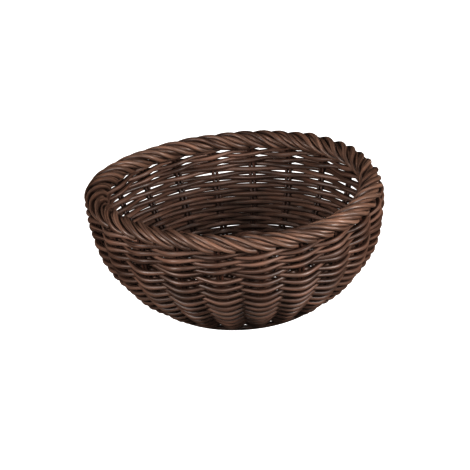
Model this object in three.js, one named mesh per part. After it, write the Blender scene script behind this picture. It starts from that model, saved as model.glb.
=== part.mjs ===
// Round woven basket for fruit, in millimetres, +Z up.
// The origin is the middle of the flat underside, which rests on the table.
//
// Eleven base sticks cross in the middle and fan out into the base. Paired stakes, each pair one rod
// bent like a hairpin, start at the tips of the sticks and climb the wall to the border. Strands are
// woven in front of and behind them: here each woven course is a plain inner and outer band, and the
// rods pass between the two.
import * as THREE from "three";

// Overall shape
const basketHeight = 105;
const wallRadius = 124; // outside of the wall where it is widest
const widestHeight = 84; // the wall is upright above this height
const baseRadius = 66; // edge of the flat underside
const bellyFullness = 0.77; // below 1: the wall leaves the table almost flat, as a bowl does

// Border: the roll of rods along the top
const borderInset = 11.5;
const borderRadius = wallRadius - borderInset; // middle of the roll
const borderWidth = 19;
const borderDepth = 14;

// Rods and strands
const stakePairs = 22;
const stakeDiameter = 2.4;
const stakeSpacing = 4; // between the middles of the two rods of a pair
const strandThickness = 3.4;
const stickDiameter = 2;
const lowerSticks = Math.ceil(stakePairs / 4); // laid along X
const upperSticks = Math.floor(stakePairs / 2) - lowerSticks; // laid along Y, over the others

// Courses of the wall from bottom to top: three of plain weave, then three rounds of twined strands
const courseNames = ["lower", "middle", "upper"];
const waleHeight = 7.9;

// Fits and fineness
const clearance = 0.3;
const ringSegments = 2 * stakePairs; // a stake pair stands at every second corner of a ring
const rodSides = 5;
const legSteps = 9;
const courseSteps = 3;

// Base: the sticks come down from the crossing, pass through the weave and stop short of the hairpins
const hairpinStart = baseRadius - 12; // middle of the bend that joins the two rods of a pair
const stickReach = hairpinStart - 4;
const stickPitch = stickDiameter + clearance;
const settleRoom = 0.35;
const crossingReach = (lowerSticks * stickPitch - clearance + stickDiameter) / 2 + stickPitch + settleRoom;
const baseHoleRadius = crossingReach + 2; // the crossed sticks show inside it

const channelDepth = stakeDiameter + 2 * clearance; // room between the inner and outer bands
const wallThickness = 2 * strandThickness + channelDepth;
const channelMiddle = strandThickness + channelDepth / 2;
const wallTop = basketHeight - borderDepth - clearance;

// The outside of the wall as radius and height: flat at the base edge, upright from widestHeight on.
function outerProfile(height) {
  const rise = Math.min(height / widestHeight, 1);
  const spread = Math.pow(1 - (1 - rise) * (1 - rise), bellyFullness);
  return new THREE.Vector2(baseRadius + (wallRadius - baseRadius) * spread, height);
}

// The same line as a list of points with the length walked so far, so that courses can be stacked on it.
const profileSamples = 600;
const profile = [];
for (let i = 0; i <= profileSamples; i += 1) {
  const point = outerProfile(wallTop * Math.pow(i / profileSamples, 1.6));
  const before = profile[i - 1];
  const walked = before ? before.walked + before.point.distanceTo(point) : 0;
  profile.push({ point, walked });
}
const profileLength = profile[profileSamples].walked;

// A point a given way along the wall and a given depth under its outside.
function wallPoint(walked, depth) {
  let next = profile.findIndex((entry) => entry.walked >= walked);
  next = next < 1 ? (walked > profileLength / 2 ? profileSamples : 1) : next;
  const from = profile[next - 1];
  const to = profile[next];
  const share = (walked - from.walked) / (to.walked - from.walked);
  const along = to.point.clone().sub(from.point).normalize();
  const inward = new THREE.Vector2(-along.y, along.x);
  return from.point.clone().lerp(to.point, share).addScaledVector(inward, depth);
}

// A closed ring whose cut face is the outline given, as radius and height. Its points run
// counter-clockwise, which turns the faces outwards.
function ringGeometry(outline) {
  const geometry = new THREE.LatheGeometry([...outline, outline[0]], ringSegments);
  geometry.rotateX(Math.PI / 2);
  return geometry;
}

// A band that follows the wall from one length to another, between two depths.
function bandGeometry(from, to, outerDepth, innerDepth, steps) {
  const outline = [];
  for (let i = 0; i <= steps; i += 1) {
    outline.push(wallPoint(from + ((to - from) * i) / steps, outerDepth));
  }
  for (let i = steps; i >= 0; i -= 1) {
    outline.push(wallPoint(from + ((to - from) * i) / steps, innerDepth));
  }
  return ringGeometry(outline);
}

// A flat ring of the base, between two heights. Its edge meets the foot of the wall.
function baseRingGeometry(bottom, top) {
  return ringGeometry([
    new THREE.Vector2(baseHoleRadius, bottom),
    new THREE.Vector2(wallPoint(0, bottom).x - clearance, bottom),
    new THREE.Vector2(wallPoint(0, top).x - clearance, top),
    new THREE.Vector2(baseHoleRadius, top),
  ]);
}

// The border's cut face is an ellipse.
function borderGeometry() {
  const sides = 12;
  const middle = basketHeight - borderDepth / 2;
  const outline = [];
  for (let i = 0; i < sides; i += 1) {
    const angle = ((i + 0.5) / sides) * 2 * Math.PI;
    const reach = 1 / Math.cos(Math.PI / sides);
    const radius = borderRadius + (borderWidth / 2) * reach * Math.cos(angle);
    outline.push(new THREE.Vector2(radius, middle + (borderDepth / 2) * reach * Math.sin(angle)));
  }
  return ringGeometry(outline);
}

// A route of straight steps from point to point, for a rod to follow.
class RodRoute extends THREE.Curve {
  constructor(points) {
    super();
    this.points = points;
  }

  getPoint(share, target = new THREE.Vector3()) {
    const place = share * (this.points.length - 1);
    const index = Math.min(Math.floor(place), this.points.length - 2);
    return target.lerpVectors(this.points[index], this.points[index + 1], place - index);
  }

  // Even shares of the route fall on its points, however far apart they lie.
  getUtoTmapping(share) {
    return share;
  }
}

function rodGeometry(points, diameter) {
  const section = new THREE.Shape();
  for (let i = 0; i < rodSides; i += 1) {
    const angle = (i / rodSides) * 2 * Math.PI;
    section.lineTo((diameter / 2) * Math.cos(angle), (diameter / 2) * Math.sin(angle));
  }
  section.currentPoint.set(0, 0);
  section.curves.shift();
  return new THREE.ExtrudeGeometry(section, {
    steps: points.length - 1,
    extrudePath: new RodRoute(points),
    bevelEnabled: false,
  });
}

// One hairpin: down the wall, along the base, round the bend, and back up beside itself.
// It is made in the plane of +X and turned into place afterwards.
function stakePairPoints() {
  const half = stakeSpacing / 2;
  const leg = [];
  const top = profileLength - clearance;
  for (let i = 0; i <= legSteps; i += 1) {
    const spot = wallPoint(top * (1 - i / legSteps), channelMiddle);
    leg.push(new THREE.Vector3(spot.x, half, spot.y));
  }
  leg.push(new THREE.Vector3(hairpinStart, half, channelMiddle));
  const bend = [];
  const bendSteps = 4;
  for (let i = 1; i < bendSteps; i += 1) {
    const angle = (i / bendSteps) * Math.PI;
    const inward = hairpinStart - half * Math.sin(angle);
    bend.push(new THREE.Vector3(inward, half * Math.cos(angle), channelMiddle));
  }
  const back = leg.map((point) => new THREE.Vector3(point.x, -point.y, point.z)).reverse();
  return [...leg, ...bend, ...back];
}

// A base stick lies straight through the crossing and fans out on both sides of it.
// An upper stick passes over the lower bundle and comes down again beside it.
function baseStickPoints(place, count, otherCount, lift) {
  const across = (place - (count - 1) / 2) * stickPitch;
  const bundleHalf = (otherCount * stickPitch - clearance) / 2;
  const liftedTo = bundleHalf + stickDiameter / 2;
  const settledFrom = liftedTo + lift + settleRoom;
  const fan = (place - (count - 1) / 2) * ((2 * Math.PI) / stakePairs);
  const tip = new THREE.Vector3(Math.cos(fan), Math.sin(fan), 0).multiplyScalar(stickReach);
  const half = [
    new THREE.Vector3(liftedTo, across, channelMiddle + lift),
    new THREE.Vector3(settledFrom, across, channelMiddle),
    new THREE.Vector3(tip.x, tip.y, channelMiddle),
  ];
  const mirrored = half.map((point) => new THREE.Vector3(-point.x, point.y, point.z)).reverse();
  return [...mirrored, ...half];
}

function plastic(color) {
  return new THREE.MeshStandardMaterial({ color, roughness: 0.45, metalness: 0 });
}

const stakeFinish = plastic("#3a2a24");
const weaveFinish = plastic("#4a342b");
const waleFinish = plastic("#4f382f");
const borderFinish = plastic("#553c32");
const baseFinish = plastic("#40302a");

const basket = new THREE.Group();

function place(name, geometry, material, turn = 0) {
  const mesh = new THREE.Mesh(geometry, material);
  mesh.name = name;
  mesh.rotation.z = turn;
  basket.add(mesh);
}

function numbered(name, index) {
  return `${name}_${String(index + 1).padStart(2, "0")}`;
}

// Crossed base sticks
for (let i = 0; i < lowerSticks; i += 1) {
  const points = baseStickPoints(i, lowerSticks, upperSticks, 0);
  place(numbered("base_stick", i), rodGeometry(points, stickDiameter), baseFinish);
}
for (let i = 0; i < upperSticks; i += 1) {
  const points = baseStickPoints(i, upperSticks, lowerSticks, stickPitch);
  const name = numbered("base_stick", lowerSticks + i);
  place(name, rodGeometry(points, stickDiameter), baseFinish, Math.PI / 2);
}

// Base weave under and over the sticks
place("base_weave_lower", baseRingGeometry(0, strandThickness), baseFinish);
place(
  "base_weave_upper",
  baseRingGeometry(wallThickness - strandThickness, wallThickness),
  baseFinish,
);

// Stake pairs, each in line with the tip of a base stick
const pairPoints = stakePairPoints();
for (let i = 0; i < stakePairs; i += 1) {
  const turn = ((i + 0.5) / stakePairs) * 2 * Math.PI;
  place(numbered("stake_pair", i), rodGeometry(pairPoints, stakeDiameter), stakeFinish, turn);
}

// Plain weave and, above it, the twined rounds. Each course has a band on either side of the stakes.
function placeCourse(name, from, height, steps, finish) {
  const innerDepth = wallThickness - strandThickness;
  const outer = bandGeometry(from, from + height, 0, strandThickness, steps);
  const inner = bandGeometry(from, from + height, innerDepth, wallThickness, steps);
  place(`${name}_outer`, outer, finish);
  place(`${name}_inner`, inner, finish);
}

const courses = courseNames.length;
const sideLength = profileLength - courses * (waleHeight + clearance);
const courseHeight = sideLength / courses - clearance;
courseNames.forEach((name, i) => {
  const sideFrom = i * (courseHeight + clearance);
  const waleFrom = sideLength + i * (waleHeight + clearance);
  placeCourse(`side_weave_${name}`, sideFrom, courseHeight, courseSteps, weaveFinish);
  placeCourse(`wale_${name}`, waleFrom, waleHeight, 2, waleFinish);
});

// Border
place("border_roll", borderGeometry(), borderFinish);

export default basket;
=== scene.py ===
"""A round fruit basket, woven by hand from dark brown ribbed plastic rattan.

The wall is one smooth line turned round the middle of the basket. Every rod and strand is a round
tube along a centre line. In the wall, the stakes and the base rounds, a centre line is given by three
things at each point: its azimuth, how far along the wall it is (below zero: on the base), and how deep
it lies under the wall's outside. In the border it is given by azimuth, radius and height, and the base
sticks' are given by X, Y and Z.
"""

import math

import bpy
import numpy as np
from mathutils import Matrix, Vector


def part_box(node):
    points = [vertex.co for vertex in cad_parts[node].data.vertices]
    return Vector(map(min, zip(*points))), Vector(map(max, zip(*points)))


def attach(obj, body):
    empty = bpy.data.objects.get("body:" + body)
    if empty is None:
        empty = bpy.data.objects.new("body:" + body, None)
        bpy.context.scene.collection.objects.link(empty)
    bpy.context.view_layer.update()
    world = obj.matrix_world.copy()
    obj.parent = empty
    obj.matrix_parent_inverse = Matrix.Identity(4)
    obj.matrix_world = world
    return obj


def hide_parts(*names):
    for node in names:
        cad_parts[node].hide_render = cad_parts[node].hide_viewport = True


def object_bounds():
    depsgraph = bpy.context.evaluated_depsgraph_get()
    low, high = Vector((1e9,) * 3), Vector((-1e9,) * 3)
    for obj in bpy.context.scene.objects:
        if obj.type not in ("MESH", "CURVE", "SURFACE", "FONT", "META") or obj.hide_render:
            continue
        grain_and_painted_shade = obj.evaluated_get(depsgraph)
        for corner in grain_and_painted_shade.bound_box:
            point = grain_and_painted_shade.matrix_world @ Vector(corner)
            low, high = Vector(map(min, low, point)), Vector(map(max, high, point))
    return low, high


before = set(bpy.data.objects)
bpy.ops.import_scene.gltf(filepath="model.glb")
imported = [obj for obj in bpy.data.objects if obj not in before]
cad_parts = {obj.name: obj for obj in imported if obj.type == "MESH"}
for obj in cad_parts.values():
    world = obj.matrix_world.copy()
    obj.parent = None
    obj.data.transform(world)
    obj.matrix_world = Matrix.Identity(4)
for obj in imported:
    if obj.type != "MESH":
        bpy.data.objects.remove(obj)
cad_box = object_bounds()

TURN = 2 * math.pi
MM = 0.001

# Sizes that the frame gives, in metres
HEIGHT = cad_box[1].z
WALL_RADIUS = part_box("wale_upper_outer")[1].x
WALL_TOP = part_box("wale_upper_outer")[1].z
BASE_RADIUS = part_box("base_weave_lower")[1].x + 0.3 * MM
WALL_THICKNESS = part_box("base_weave_upper")[1].z
BORDER_LOW, BORDER_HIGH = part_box("border_roll")
PAIRS = sum(name.startswith("stake_pair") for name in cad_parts)

# The maker's own sizes. A swing is half of how far a strand goes in and out, and a swell is the
# share by which it is thicker where it passes a stake.
BELLY = 0.77
WIDEST_HEIGHT = 0.8 * HEIGHT
STAKE_RADIUS = 1.4 * MM
STAKE_SPACING = 3.5 * MM
STICK_RADIUS = 1.0 * MM
WEAVER_RADIUS = 2.0 * MM
STRAND_SWELL = 0.17
WALE_RADIUS = 1.65 * MM
WALE_SWELL = 0.42
BORDER_ROD_RADIUS = 2.25 * MM
BORDER_LAYER_STEP = 0.34  # the share by which the lower layer of rods lies nearer the middle
CORE_RADIUS = 1.45 * MM
CORE_SHIFT = 1.5 * MM
ROUND_PITCH = 4.1 * MM
WALE_PITCH = 6.6 * MM
WALE_LIFT = 2.6 * MM
BORDER_WIDTH = 19 * MM
WALES = 3
MIDDLE_DEPTH = 6.85 * MM
SIDE_SWING = 3.9 * MM
WALE_SWING = 3.8 * MM
BASE_SWING = 3.1 * MM
THIN_RADIUS = 1.35 * MM
STICK_PITCH = 2.3 * MM
SPACING = TURN / PAIRS


def wall_line():
    """The wall's outside as length, radius, height and slope. The radius grows with height as
    1 - (1 - share of the widest height) squared, to the power BELLY. Its direction is smoothed over
    eight millimetres so that the foot of the wall is a soft bend, and the line is walked again from it."""
    height = WALL_TOP * np.linspace(0, 1, 4001) ** 1.6
    rise = np.minimum(height / WIDEST_HEIGHT, 1)
    radius = BASE_RADIUS + (WALL_RADIUS - BASE_RADIUS) * (1 - (1 - rise) ** 2) ** BELLY
    step = np.hypot(np.diff(radius), np.diff(height))
    walked = np.concatenate([[0], np.cumsum(step)])
    slope = np.arctan2(np.diff(height), np.diff(radius))
    pitch = 0.1 * MM
    length = np.arange(-BASE_RADIUS, walked[-1] + 12 * MM, pitch)
    rough = np.interp(length, walked[:-1], slope, left=0, right=math.pi / 2)
    width = int(8 * MM / pitch)
    padded = np.pad(rough, width // 2, mode="edge")
    smooth = np.convolve(padded, np.ones(width) / width, mode="same")[width // 2 : width // 2 + len(rough)]
    start = np.searchsorted(length, -6 * MM)
    radius = BASE_RADIUS - 6 * MM + np.cumsum(np.cos(smooth) * pitch)
    height = np.cumsum(np.sin(smooth) * pitch)
    radius -= radius[start] - (BASE_RADIUS - 6 * MM)
    height -= height[start]
    return length, radius, height, smooth


LINE = wall_line()
WALL_LENGTH = float(np.interp(WALL_TOP, LINE[2], LINE[0]))


def on_wall(azimuth, length, depth):
    """Points and outward directions for azimuth, length along the wall and depth under its outside."""
    radius = np.interp(length, LINE[0], LINE[1])
    height = np.interp(length, LINE[0], LINE[2])
    slope = np.interp(length, LINE[0], LINE[3])
    out_radial, out_up = np.sin(slope), -np.cos(slope)
    radius = radius - depth * out_radial
    height = height - depth * out_up
    return in_space(azimuth, radius, height), in_space(azimuth, out_radial, out_up)


def in_space(azimuth, radius, height):
    """Azimuth, radius and height to X, Y, Z. Azimuth zero is the front, -Y, and it grows to the right."""
    azimuth, radius, height = np.broadcast_arrays(azimuth, radius, height)
    return np.stack([radius * np.sin(azimuth), -radius * np.cos(azimuth), height], -1)


def settle(points):
    """The give of a hand-made basket: the rim is lifted and lowered by a few millimetres along two
    waves, leans a little and sits slightly off the middle. All of it grows with height squared."""
    x, y, z = points[..., 0], points[..., 1], points[..., 2]
    grows = np.clip(z / HEIGHT, 0, 1.1) ** 2
    around = np.arctan2(x, -y)
    share = np.hypot(x, y) / WALL_RADIUS
    waves = -1.5 * np.cos(2 * around) - 3.0 * np.sin(2 * around)
    lean = (0.4 * y - 1.8 * x) / WALL_RADIUS
    squeeze = 1 + grows * MM * (-0.9 * np.cos(2 * around) - 0.3 * np.sin(2 * around)) / WALL_RADIUS
    moved = np.empty_like(points)
    moved[..., 0] = x * squeeze - 2.6 * MM * grows
    moved[..., 1] = y * squeeze - 0.5 * MM * grows
    moved[..., 2] = z + grows * MM * (share**2 * waves + lean)
    return moved


def wander(azimuth, seed, size, waves=9):
    """A smooth wobble round the basket: a few sine waves with random phases, of about the size given."""
    draw = np.random.default_rng(seed)
    total = np.zeros_like(azimuth)
    for wave in range(1, waves + 1):
        phase = draw.uniform(0, TURN)
        total = total + draw.normal() * np.sin(wave * azimuth + phase) / math.sqrt(wave)
    return size * total / math.sqrt(math.log(waves) + 1)


# ---------------------------------------------------------------- tubes


def tubes(centres, outward, radius, sides, closed):
    """Round tubes along several centre lines of the same number of points. The ring at a point is its
    centre plus radius times (cos w out + sin w side), where side is the line's direction crossed with
    outward and w goes once round. Open ends get three smaller rings and a tip, a rounded end."""
    if closed:
        along = np.roll(centres, -1, 1) - np.roll(centres, 1, 1)
    else:
        along = np.gradient(centres, axis=1)
    along /= np.linalg.norm(along, axis=-1, keepdims=True)
    side = np.cross(along, outward)
    side /= np.linalg.norm(side, axis=-1, keepdims=True)
    out = np.cross(side, along)
    radius = np.broadcast_to(radius, centres.shape[:2]).copy()
    if not closed:
        bulge = np.array([80.0, 55.0, 28.0]) * math.pi / 180
        ends = []
        for end, sign, angles in ((0, -1, bulge), (-1, 1, bulge[::-1])):
            reach = sign * radius[:, [end]] * np.sin(angles)
            point = centres[:, [end]] + reach[..., None] * along[:, [end]] * 0.7
            ends.append((point, radius[:, [end]] * np.cos(angles)))
        repeat = lambda a: np.concatenate([a[:, [0] * 3], a, a[:, [-1] * 3]], 1)
        along, side, out = repeat(along), repeat(side), repeat(out)
        centres = np.concatenate([ends[0][0], centres, ends[1][0]], 1)
        radius = np.concatenate([ends[0][1], radius, ends[1][1]], 1)
    turn = np.arange(sides) / sides * TURN
    ring = np.cos(turn)[:, None] * out[..., None, :] + np.sin(turn)[:, None] * side[..., None, :]
    return centres, centres[:, :, None] + radius[..., None, None] * ring, along, radius


def strand_mesh(name, batches, sides=12):
    """One mesh of many tubes. Each batch is (centres, outward, radius, closed, seed). The UV map holds
    the length walked along a strand, in decimetres, and the share of the way round it. Each strand
    starts its length at a random place and has its own random tone."""
    vertices, quads, triangles, quad_uv, triangle_uv, tones = [], [], [], [], [], []
    first = 0
    for centres, outward, radius, closed, seed in batches:
        line, rings, along, rod = tubes(centres, outward, radius, sides, closed)
        strands, points = rings.shape[:2]
        draw = np.random.default_rng(seed)
        tone = draw.uniform(0, 1, strands)
        start = draw.uniform(0, 50, strands)
        step = np.linalg.norm(np.diff(line, axis=1, append=line[:, :1]), axis=-1)
        walked = start[:, None] + np.concatenate([np.zeros((strands, 1)), np.cumsum(step, 1)], 1) * 10
        number = np.arange(strands * points * sides).reshape(strands, points, sides) + first
        beside = np.roll(number, -1, 2)
        last = points if closed else points - 1
        ahead = np.roll(number, -1, 1)
        ahead_beside = np.roll(beside, -1, 1)
        faces = np.stack([number, beside, ahead_beside, ahead], -1)[:, :last]
        quads.append(faces.reshape(-1, 4))
        around = np.arange(sides) / sides
        u0 = np.broadcast_to(walked[:, :last, None], faces.shape[:3])
        u1 = np.broadcast_to(walked[:, 1 : last + 1, None], faces.shape[:3])
        v0 = np.broadcast_to(around, faces.shape[:3])
        v1 = v0 + 1 / sides
        quad_uv.append(np.stack([u0, v0, u0, v1, u1, v1, u1, v0], -1).reshape(-1, 2))
        vertices.append(rings.reshape(-1, 3))
        tones.append(np.repeat(tone, points * sides))
        first += strands * points * sides
        if not closed:
            tips = np.arange(strands * 2).reshape(strands, 2) + first
            low = line[:, 0] - 0.72 * np.cos(1.4) * rod[:, [0]] * along[:, 0]
            high = line[:, -1] + 0.72 * np.cos(1.4) * rod[:, [-1]] * along[:, -1]
            vertices.append(np.stack([low, high], 1).reshape(-1, 3))
            tones.append(np.repeat(tone, 2))
            first += strands * 2
            spread = lambda a: np.broadcast_to(a[:, None], (strands, sides))
            near = np.stack([beside[:, 0], number[:, 0], spread(tips[:, 0])], -1)
            far = np.stack([number[:, -1], beside[:, -1], spread(tips[:, 1])], -1)
            triangles.append(np.concatenate([near, far]).reshape(-1, 3))
            v = np.broadcast_to(around, (strands, sides))
            for u in (walked[:, :1], walked[:, points - 1 : points]):
                flat = np.broadcast_to(u, (strands, sides))
                uv = np.stack([flat, v, flat, v, flat, v], -1)
                triangle_uv.append(uv.reshape(-1, 2))
    corners = [np.concatenate(quads).ravel()]
    starts = [np.arange(len(corners[0]) // 4) * 4]
    uvs = quad_uv
    if triangles:
        flat = np.concatenate(triangles).ravel()
        starts.append(np.arange(len(flat) // 3) * 3 + len(corners[0]))
        corners.append(flat)
        uvs = quad_uv + triangle_uv
    return build_mesh(name, vertices, corners, starts, uvs, tones)


def build_mesh(name, vertices, corners, starts, uvs, tones):
    """The arrays put into a Blender mesh, smooth shaded."""
    vertices = settle(np.concatenate(vertices))
    corners = np.concatenate(corners).astype(np.int32)
    starts = np.concatenate(starts).astype(np.int32)
    mesh = bpy.data.meshes.new(name)
    mesh.vertices.add(len(vertices))
    mesh.vertices.foreach_set("co", vertices.ravel())
    mesh.loops.add(len(corners))
    mesh.loops.foreach_set("vertex_index", corners)
    mesh.polygons.add(len(starts))
    mesh.polygons.foreach_set("loop_start", starts)
    mesh.update(calc_edges=True)
    mesh.uv_layers.new(name="strand").data.foreach_set("uv", np.concatenate(uvs).ravel())
    mesh.attributes.new("tone", "FLOAT", "POINT").data.foreach_set("value", np.concatenate(tones))
    mesh.shade_smooth()
    mesh.validate()
    piece = bpy.data.objects.new(name, mesh)
    bpy.context.scene.collection.objects.link(piece)
    return piece


def finish_piece(piece, material, nodes):
    piece.data.materials.append(material)
    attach(piece, "root")
    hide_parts(*nodes)


# ---------------------------------------------------------------- materials


def node(tree, kind, settings=None, **inputs):
    made = tree.nodes.new(kind)
    for key, value in (settings or {}).items():
        setattr(made, key, value)
    for key, value in inputs.items():
        socket = made.inputs[int(key[1:])] if key[0] == "i" and key[1:].isdigit() else made.inputs[key]
        if isinstance(value, bpy.types.NodeSocket):
            tree.links.new(value, socket)
        else:
            socket.default_value = value
    return made


def maths(tree, operation, a, b=0.0):
    return node(tree, "ShaderNodeMath", {"operation": operation}, i0=a, i1=b).outputs[0]


def blend(tree, share, first, second):
    """A colour that goes from the first to the second with the share."""
    made = node(tree, "ShaderNodeMix", {"data_type": "RGBA"}, i0=share, i6=first, i7=second)
    return made.outputs[2]


def ribbed_rattan_group():
    """Extruded plastic cane: fine ribs and streaks run along it, its colour drifts slowly along its
    length, and each strand has a tone of its own. Its flanks, where it lies against the next, are
    drawn to the dark colour: painted shade for the shadow between touching strands. The streaks use
    the way round the strand as a circle, so they meet where it closes."""
    tree = bpy.data.node_groups.new("ribbed rattan", "ShaderNodeTree")
    for name, kind in (
        ("Strand", "NodeSocketVector"),
        ("Tone", "NodeSocketFloat"),
        ("Dark", "NodeSocketColor"),
        ("Light", "NodeSocketColor"),
        ("Warm", "NodeSocketColor"),
    ):
        tree.interface.new_socket(name, in_out="INPUT", socket_type=kind)
    for name, kind in (
        ("Colour", "NodeSocketColor"),
        ("Roughness", "NodeSocketFloat"),
        ("Height", "NodeSocketFloat"),
    ):
        tree.interface.new_socket(name, in_out="OUTPUT", socket_type=kind)
    given = tree.nodes.new("NodeGroupInput").outputs
    result = tree.nodes.new("NodeGroupOutput").inputs
    parts = node(tree, "ShaderNodeSeparateXYZ", i0=given["Strand"])
    angle = maths(tree, "MULTIPLY", parts.outputs[1], TURN)
    ring_x = maths(tree, "COSINE", angle)
    ring_y = maths(tree, "SINE", angle)

    def streaks(across, along, detail):
        spot = node(
            tree,
            "ShaderNodeCombineXYZ",
            i0=maths(tree, "MULTIPLY", ring_x, across),
            i1=maths(tree, "MULTIPLY", ring_y, across),
            i2=maths(tree, "MULTIPLY", parts.outputs[0], along),
        )
        made = node(
            tree, "ShaderNodeTexNoise", Vector=spot.outputs[0], Scale=1.0, Detail=detail, Roughness=0.6
        )
        return made.outputs[0]

    fine = streaks(3.6, 2.0, 4.0)
    broad = streaks(1.4, 2.2, 2.0)
    drift = streaks(0.2, 5.0, 2.0)
    ribs = maths(tree, "SINE", maths(tree, "MULTIPLY", angle, 11.0))
    mixed = maths(tree, "MULTIPLY_ADD", given["Tone"], 0.2)
    tree.links.new(maths(tree, "MULTIPLY", broad, 0.6), mixed.node.inputs[2])
    more = maths(tree, "MULTIPLY_ADD", fine, 0.9)
    tree.links.new(mixed, more.node.inputs[2])
    most = maths(tree, "MULTIPLY_ADD", drift, 0.45)
    tree.links.new(more, most.node.inputs[2])
    shade = node(
        tree, "ShaderNodeMapRange", Value=most, **{"From Min": 0.82, "From Max": 1.25}
    ).outputs[0]
    turn_warm = node(
        tree, "ShaderNodeMapRange", Value=drift, **{"From Min": 0.35, "From Max": 0.65}
    ).outputs[0]
    # Painted shade: the colour goes to Dark on each strand's flanks, where it touches the next strand, in
    # place of the shadow there.
    facing = maths(tree, "ABSOLUTE", ring_x)
    flank_painted_shade = node(
        tree, "ShaderNodeMapRange", Value=facing, **{"From Min": 0.05, "From Max": 0.7}
    ).outputs[0]
    lit = blend(tree, turn_warm, given["Light"], given["Warm"])
    grain_and_painted_shade = maths(tree, "MULTIPLY", shade, flank_painted_shade)
    tree.links.new(blend(tree, grain_and_painted_shade, given["Dark"], lit), result["Colour"])
    rough = node(
        tree, "ShaderNodeMapRange", Value=fine, **{"To Min": 0.36, "To Max": 0.56}
    ).outputs[0]
    tree.links.new(rough, result["Roughness"])
    height = maths(tree, "MULTIPLY_ADD", ribs, 0.25)
    tree.links.new(fine, height.node.inputs[2])
    tree.links.new(height, result["Height"])
    return tree


RATTAN = ribbed_rattan_group()


def rattan_material(name, dark, light, warm):
    material = bpy.data.materials.new(name)
    material.use_nodes = True
    tree = material.node_tree
    tree.nodes.clear()
    strand = node(tree, "ShaderNodeUVMap", {"uv_map": "strand"})
    tone = node(tree, "ShaderNodeAttribute", {"attribute_name": "tone"})
    grain = node(tree, "ShaderNodeGroup", {"node_tree": RATTAN})
    tree.links.new(strand.outputs[0], grain.inputs["Strand"])
    tree.links.new(tone.outputs["Fac"], grain.inputs["Tone"])
    grain.inputs["Dark"].default_value = (*dark, 1)
    grain.inputs["Light"].default_value = (*light, 1)
    grain.inputs["Warm"].default_value = (*warm, 1)
    bump = node(
        tree, "ShaderNodeBump", Strength=0.8, Distance=0.12 * MM, Height=grain.outputs["Height"]
    )
    shader = node(
        tree,
        "ShaderNodeBsdfPrincipled",
        Roughness=grain.outputs["Roughness"],
        Normal=bump.outputs[0],
    )
    tree.links.new(grain.outputs["Colour"], shader.inputs["Base Color"])
    shader.inputs["Specular IOR Level"].default_value = 0.3
    output = tree.nodes.new("ShaderNodeOutputMaterial")
    tree.links.new(shader.outputs[0], output.inputs[0])
    return material


# ---------------------------------------------------------------- weaving


def crest(angle):
    """The swing of a strand between front and back: a cosine, drawn a little to a point."""
    return (np.cos(angle) + 0.04 * np.cos(3 * angle)) / 1.04


def sag(azimuth, length):
    """How far a strand hangs along the wall where it passes outside, and is lifted where it passes
    inside. At the front it is up to 1.5 mm. At the back it is the other way round, up to 1 mm, and
    the two are mixed by half of 1 + cos azimuth."""
    front = MM * np.interp(length / MM, (0, 8, 70, 95), (0.7, 1.5, 1.45, 0.9))
    back = MM * np.interp(length / MM, (0, 28, 60, 88, 98), (0, -1.0, -0.8, -0.5, 0.1))
    share = 0.5 + 0.5 * np.cos(azimuth)
    return front * share + back * (1 - share)


def plain_round(length, turned, seed, steps=11):
    """One closed round of plain weave: in front of one stake, behind the next."""
    azimuth = np.arange(PAIRS * steps) / (PAIRS * steps) * TURN
    angle = math.pi * (azimuth / SPACING - 0.5 + turned)
    depth = MIDDLE_DEPTH - SIDE_SWING * crest(angle) * (1 + wander(azimuth, seed, 0.04))
    height = length - sag(azimuth, length) * crest(angle) + wander(azimuth, seed + 1, 0.28 * MM, waves=14)
    radius = WEAVER_RADIUS * (1 + STRAND_SWELL * np.cos(angle) ** 2)
    return *on_wall(azimuth, height, depth), radius


def side_weave():
    """Rounds of plain weave from the base edge to the twined rounds, in two meshes: those that pass
    in front of the first stake, and those that pass behind it."""
    top = WALL_LENGTH + WALE_LIFT - WALES * WALE_PITCH
    low = 4.6 * MM
    rounds = int(round((top - low) / ROUND_PITCH))
    pitch = (top - low) / rounds
    batches = ([], [])
    for row in range(rounds):
        length = low + (row + 0.5) * pitch
        centres, outward, radius = plain_round(length, row % 2, 100 + 7 * row)
        batches[row % 2].append((centres[None], outward[None], radius, True, 500 + row))
    return batches


def wale_round(number):
    """Two strands twisted round the stakes. Each turns about their common line once every two stakes:
    the swing in and out is a cosine, and the rise and fall is the sine that belongs to it."""
    steps = 16
    azimuth = np.arange(PAIRS * steps) / (PAIRS * steps) * TURN
    length = WALL_LENGTH + WALE_LIFT - (WALES - number - 0.5) * WALE_PITCH
    batches = []
    for strand in range(2):
        angle = math.pi * (azimuth / SPACING - 0.5 + strand)
        depth = MIDDLE_DEPTH - WALE_SWING * crest(angle)
        rise = WALE_PITCH / 4 * np.sin(angle)
        height = length + rise + wander(azimuth, 300 + 10 * number + strand, 0.2 * MM)
        centres, outward = on_wall(azimuth, height, depth)
        radius = WALE_RADIUS * (1 + WALE_SWELL * np.cos(angle) ** 2)
        batches.append((centres[None], outward[None], radius, True, 800 + 2 * number + strand))
    return batches


def stake_rods():
    """Pairs of thin rods, side by side, from the base up into the border."""
    length = np.linspace(-12 * MM, WALL_LENGTH + 6 * MM, 70)
    middle = (np.arange(PAIRS) + 0.5) * SPACING
    batches = []
    for side in (-1, 1):
        radius = np.interp(length, LINE[0], LINE[1])
        azimuth = middle[:, None] + side * STAKE_SPACING / 2 / radius[None]
        spread = np.broadcast_to(length, azimuth.shape)
        centres, outward = on_wall(azimuth, spread, MIDDLE_DEPTH)
        batches.append((centres, outward, STAKE_RADIUS, False, 40 + side))
    return batches


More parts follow.
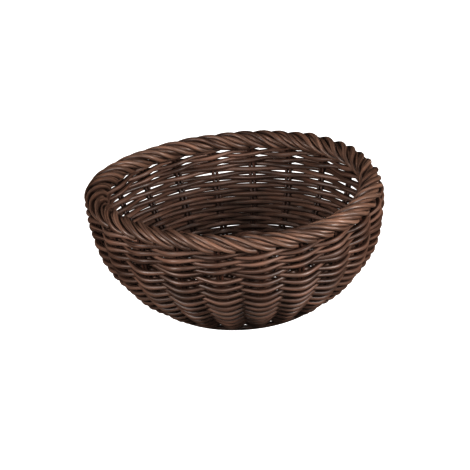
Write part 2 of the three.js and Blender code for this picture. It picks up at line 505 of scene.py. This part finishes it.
def smooth_through(keys, count):
    """A smooth line through rows of numbers, by cubic pieces whose slope at a row is half the way
    from the row before to the row after."""
    keys = np.asarray(keys, float)
    slope = np.gradient(keys, axis=0)
    place = np.linspace(0, len(keys) - 1, count)
    index = np.minimum(place.astype(int), len(keys) - 2)
    t = (place - index)[:, None]
    a, b = keys[index], keys[index + 1]
    da, db = slope[index], slope[index + 1]
    return (
        a * (1 + 2 * t) * (1 - t) ** 2
        + da * t * (1 - t) ** 2
        + b * t**2 * (3 - 2 * t)
        + db * t**2 * (t - 1)
    )


# One border rod: half stake spacings walked to the right, degrees round the border's cut face
# (0 outside, 90 top, 180 inside), and how far out it lies, from the middle to the face.
BORDER_ROD = (
    (0.05, 250, 0.9),
    (0.42, 222, 1.0),
    (0.85, 186, 1.0),
    (1.3, 146, 1.0),
    (1.8, 104, 1.0),
    (2.35, 64, 1.0),
    (2.9, 24, 1.0),
    (3.4, -12, 1.05),
    (3.8, -38, 0.95),
)


def border_rods():
    """Short rods laid one after another round the rim, in two layers with two rods to each stake pair.
    Each comes up from the inside, crosses the top slantwise, runs down the outside and turns in below
    the border. The rods of the lower layer lie in the grooves between those of the upper one."""
    count = 2 * PAIRS
    walked, turned, out = smooth_through(BORDER_ROD, 60).T
    draw = np.random.default_rng(7)
    layer = np.repeat([0, 1], count)
    number = np.tile(np.arange(count), 2) + 0.5 * layer
    count *= 2
    start = (number + draw.normal(0, 0.09, count)) * SPACING / 2
    azimuth = start[:, None] + walked * SPACING / 2
    swell = 1 - BORDER_LAYER_STEP * layer[:, None] + draw.normal(0, 0.04, (count, 1))
    angle = np.radians(turned) + draw.normal(0, 0.03, (count, 1))
    middle_radius = BORDER_HIGH.x - BORDER_WIDTH / 2
    middle_height = (BORDER_LOW.z + BORDER_HIGH.z) / 2 - 0.8 * MM
    across = BORDER_WIDTH / 2 - BORDER_ROD_RADIUS
    up = (BORDER_HIGH.z - BORDER_LOW.z) / 2 - BORDER_ROD_RADIUS + 0.8 * MM
    radius = middle_radius + across * out * swell * np.cos(angle)
    height = middle_height + up * out * swell * np.sin(angle)
    centres = in_space(azimuth, radius, height)
    outward = in_space(azimuth, np.cos(angle), np.sin(angle))
    return [(centres, outward, BORDER_ROD_RADIUS, False, 60)]


def border_core():
    """Two thin rings of rod side by side in the middle of the border, round which its rods are rolled."""
    steps = 132
    azimuth = np.arange(steps) / steps * TURN
    middle_radius = BORDER_HIGH.x - BORDER_WIDTH / 2
    middle_height = (BORDER_LOW.z + BORDER_HIGH.z) / 2
    batches = []
    for ring, shift in enumerate((-CORE_SHIFT, CORE_SHIFT)):
        centres = in_space(azimuth, middle_radius + shift, middle_height)
        outward = in_space(azimuth, np.ones_like(azimuth), 0.0)
        batches.append((centres[None], outward[None], CORE_RADIUS, True, 90 + ring))
    return batches


# ---------------------------------------------------------------- base


def base_rounds():
    """The base is woven round the crossed sticks: first in thin rounds, over and under two at a time,
    then in thicker ones, one at a time, out to the foot of the wall. Rounds lie a little under their
    own thickness apart. The swing of a thick round is a cosine, and grows towards the wall. A thin
    round has an odd number of half waves, so its ends don't meet: it crosses over in one short step
    at the front."""
    batches = []
    inner, change, last = -BASE_RADIUS + 10.3 * MM, -BASE_RADIUS + 37 * MM, -0.8 * ROUND_PITCH
    steps = 11
    fine = np.arange(inner, change, 1.98 * THIN_RADIUS)
    first = fine[-1] + 0.95 * (THIN_RADIUS + WEAVER_RADIUS)
    gaps = math.ceil((last - first) / (1.9 * WEAVER_RADIUS))
    coarse = np.linspace(first, last, gaps + 1)
    for row, length in enumerate(np.concatenate([fine, coarse])):
        paired = row < len(fine)
        radius = THIN_RADIUS if paired else WEAVER_RADIUS
        azimuth = np.arange(PAIRS * steps) / (PAIRS * steps) * TURN
        if paired:
            angle = math.pi * (azimuth / TURN * (PAIRS // 2) + row)
        else:
            angle = math.pi * (azimuth / SPACING - 0.5 + row % 2)
        near_wall = np.clip(1 + length / (30 * MM), 0, 1)
        swing = BASE_SWING + (SIDE_SWING - BASE_SWING) * near_wall
        depth = MIDDLE_DEPTH - (STICK_RADIUS + radius if paired else swing) * crest(angle)
        centres, outward = on_wall(azimuth, np.full_like(azimuth, length), depth)
        batches.append((centres[None], outward[None], radius, True, 900 + row))
    return batches


def base_edge():
    """A plain round laid along the foot of the wall: the basket stands on it."""
    azimuth = np.arange(PAIRS * 8) / (PAIRS * 8) * TURN
    outward = in_space(azimuth, np.ones_like(azimuth), 0.0)
    centres = in_space(azimuth, BASE_RADIUS + 0.8 * MM, np.full_like(azimuth, 1.95 * MM))
    return [(centres[None], outward[None], WEAVER_RADIUS, True, 990)]


def base_sticks():
    """Eleven sticks: six side by side, five laid across them, each fanned out at both ends. Half a
    stick is six points on a smooth line, and the other half is its mirror image."""
    reach = BASE_RADIUS - 8 * MM
    batches = []
    for count, turned, lift, other in ((6, 0.0, 0.0, 5), (5, math.pi / 2, 2.2 * MM, 6)):
        for place in range(count):
            across = (place - (count - 1) / 2) * STICK_PITCH
            fan = (place - (count - 1) / 2) * SPACING
            flat = other * STICK_PITCH / 2
            half = [
                (0, across, lift),
                (flat * 0.8, across, lift),
                (flat + 3.2 * MM, across, lift * 0.2),
                (math.cos(fan) * 22 * MM, math.sin(fan) * 22 * MM, 0),
                (math.cos(fan) * 40 * MM, math.sin(fan) * 40 * MM, 0),
                (math.cos(fan) * reach, math.sin(fan) * reach, 0),
            ]
            keys = [(-x, y, z) for x, y, z in reversed(half[1:])] + half
            path = smooth_through(keys, 80)
            path[:, 2] += MIDDLE_DEPTH - lift / 2 if lift else MIDDLE_DEPTH - 0.6 * MM
            x, y, z = path.T
            cosine, sine = math.cos(turned), math.sin(turned)
            centres = np.stack([x * cosine - y * sine, x * sine + y * cosine, z], -1)
            up = np.zeros_like(centres)
            up[:, 2] = 1
            batches.append((centres[None], up[None], STICK_RADIUS, False, 20 + place + count))
    return batches


# ---------------------------------------------------------------- the basket

stake_finish = rattan_material(
    "thin stake rod", (0.010, 0.0042, 0.0024), (0.055, 0.027, 0.018), (0.06, 0.025, 0.015)
)
# The base strands and sticks have darker colours than the wall: painted shade for the dim foot and
# underside of the basket.
base_finish = rattan_material(
    "base strands", (0.012, 0.0054, 0.0032), (0.066, 0.038, 0.027), (0.07, 0.036, 0.024)
)
weave_finish = rattan_material(
    "side strands", (0.019, 0.0084, 0.005), (0.111, 0.069, 0.051), (0.116, 0.064, 0.045)
)
wale_finish = rattan_material(
    "twined strands", (0.020, 0.0088, 0.0052), (0.116, 0.072, 0.054), (0.121, 0.067, 0.047)
)
border_finish = rattan_material(
    "border rods", (0.021, 0.0092, 0.0055), (0.134, 0.085, 0.063), (0.14, 0.08, 0.055)
)

names = sorted(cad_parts)
pairs = [name for name in names if name.startswith("stake_pair")]
sticks = [name for name in names if name.startswith("base_stick")]

finish_piece(strand_mesh("stakes", stake_rods(), 10), stake_finish, pairs)
finish_piece(strand_mesh("base_cross", base_sticks(), 10), base_finish, sticks)
base_weave = strand_mesh("base_weave", base_rounds() + base_edge())
finish_piece(base_weave, base_finish, ["base_weave_lower", "base_weave_upper"])
side = side_weave()
side_nodes = [name for name in names if name.startswith("side_weave")]
finish_piece(strand_mesh("side_weaver_a", side[0]), weave_finish, side_nodes[0::2])
finish_piece(strand_mesh("side_weaver_b", side[1]), weave_finish, side_nodes[1::2])
for index, level in enumerate(("lower", "middle", "upper")):
    piece = strand_mesh(f"wale_{level}", wale_round(index))
    finish_piece(piece, wale_finish, [f"wale_{level}_outer", f"wale_{level}_inner"])
finish_piece(strand_mesh("border_rods", border_rods(), 14), border_finish, ["border_roll"])
core = strand_mesh("border_core", border_core())
core.data.materials.append(border_finish)
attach(core, "root")


# ---------------------------------------------------------------- floor, light and camera


def studio():
    floor_mesh = bpy.data.meshes.new("floor")
    reach = 6.0
    floor_mesh.from_pydata(
        [(-reach, -reach, 0), (reach, -reach, 0), (reach, reach, 0), (-reach, reach, 0)], [], [(0, 1, 2, 3)]
    )
    floor = bpy.data.objects.new("floor", floor_mesh)
    bpy.context.scene.collection.objects.link(floor)
    white = bpy.data.materials.new("white floor")
    white.use_nodes = True
    tree = white.node_tree
    tree.nodes.clear()
    seen = node(tree, "ShaderNodeBsdfPrincipled", Roughness=0.4)
    seen.inputs["Base Color"].default_value = (0.3, 0.3, 0.3, 1)
    seen.inputs["Emission Color"].default_value = (1, 1, 1, 1)
    seen.inputs["Emission Strength"].default_value = 0.8
    bounce = node(tree, "ShaderNodeBsdfDiffuse")
    bounce.inputs["Color"].default_value = (0.06, 0.055, 0.05, 1)
    ray = tree.nodes.new("ShaderNodeLightPath")
    mix = tree.nodes.new("ShaderNodeMixShader")
    output = tree.nodes.new("ShaderNodeOutputMaterial")
    tree.links.new(ray.outputs["Is Camera Ray"], mix.inputs[0])
    tree.links.new(bounce.outputs[0], mix.inputs[1])
    tree.links.new(seen.outputs[0], mix.inputs[2])
    tree.links.new(mix.outputs[0], output.inputs[0])
    floor_mesh.materials.append(white)

    world = bpy.data.worlds.new("studio")
    bpy.context.scene.world = world
    world.use_nodes = True
    tree = world.node_tree
    tree.nodes.clear()
    backdrop = node(tree, "ShaderNodeBackground", Strength=1.0)
    room = node(tree, "ShaderNodeBackground", Strength=0.015)
    ray = tree.nodes.new("ShaderNodeLightPath")
    mix = tree.nodes.new("ShaderNodeMixShader")
    output = tree.nodes.new("ShaderNodeOutputWorld")
    for shade in (backdrop, room):
        shade.inputs["Color"].default_value = (1, 1, 1, 1)
    tree.links.new(ray.outputs["Is Camera Ray"], mix.inputs[0])
    tree.links.new(room.outputs[0], mix.inputs[1])
    tree.links.new(backdrop.outputs[0], mix.inputs[2])
    tree.links.new(mix.outputs[0], output.inputs[0])

    def panel(name, place, size, power, gloss=True):
        data = bpy.data.lights.new(name, "AREA")
        data.shape = "RECTANGLE"
        data.size, data.size_y = size
        data.energy = power
        lamp = bpy.data.objects.new(name, data)
        lamp.location = place
        lamp.visible_camera = False
        lamp.visible_glossy = gloss
        aim = Vector((0, 0, 0.05)) - Vector(place)
        lamp.rotation_mode = "QUATERNION"
        lamp.rotation_quaternion = aim.to_track_quat("-Z", "Y")
        bpy.context.scene.collection.objects.link(lamp)

    overhead = bpy.data.lights.new("overhead lamp", "SPOT")
    overhead.energy = 60
    overhead.spot_size = 2 * math.atan(0.105 / 0.9)
    overhead.spot_blend = 1.0
    overhead.shadow_soft_size = 0.05
    lamp = bpy.data.objects.new("overhead lamp", overhead)
    lamp.location = (0, 0, 0.9)
    bpy.context.scene.collection.objects.link(lamp)

    panel("left softbox", (-0.7, -0.5, 0.38), (0.2, 0.2), 11)
    panel("right softbox", (0.72, -0.47, 0.38), (0.2, 0.2), 14.5)
    panel("front softbox", (0.03, -0.8, 0.42), (0.2, 0.2), 4.6)
    panel("left back softbox", (-0.6, 0.85, 0.16), (0.3, 0.2), 9, gloss=False)
    panel("right back softbox", (0.6, 0.85, 0.16), (0.3, 0.2), 9, gloss=False)


def camera():
    """A long lens, well above the rim and turned a little."""
    elevation, roll, distance = math.radians(23.5), math.radians(3.9), 1.975
    aim = Vector((-3.6 * MM, 0, HEIGHT / 2 + 3.1 * MM))
    back = Vector((0, -math.cos(elevation), math.sin(elevation)))
    right = Vector((1, 0, 0))
    up = back.cross(right)
    rolled_right = math.cos(roll) * right - math.sin(roll) * up
    rolled_up = math.sin(roll) * right + math.cos(roll) * up
    data = bpy.data.cameras.new("camera")
    data.sensor_width = 36
    data.lens = 1.2 * 1000 * distance / 470 * 36
    made = bpy.data.objects.new("camera", data)
    turn = Matrix((rolled_right, rolled_up, back)).transposed()
    made.matrix_world = Matrix.Translation(aim + back * distance) @ turn.to_4x4()
    bpy.context.scene.collection.objects.link(made)
    bpy.context.scene.camera = made


studio()
camera()
bpy.context.scene.view_settings.view_transform = "Standard"
bpy.context.scene.view_settings.gamma = 0.7
bpy.context.scene.view_settings.exposure = 0.37
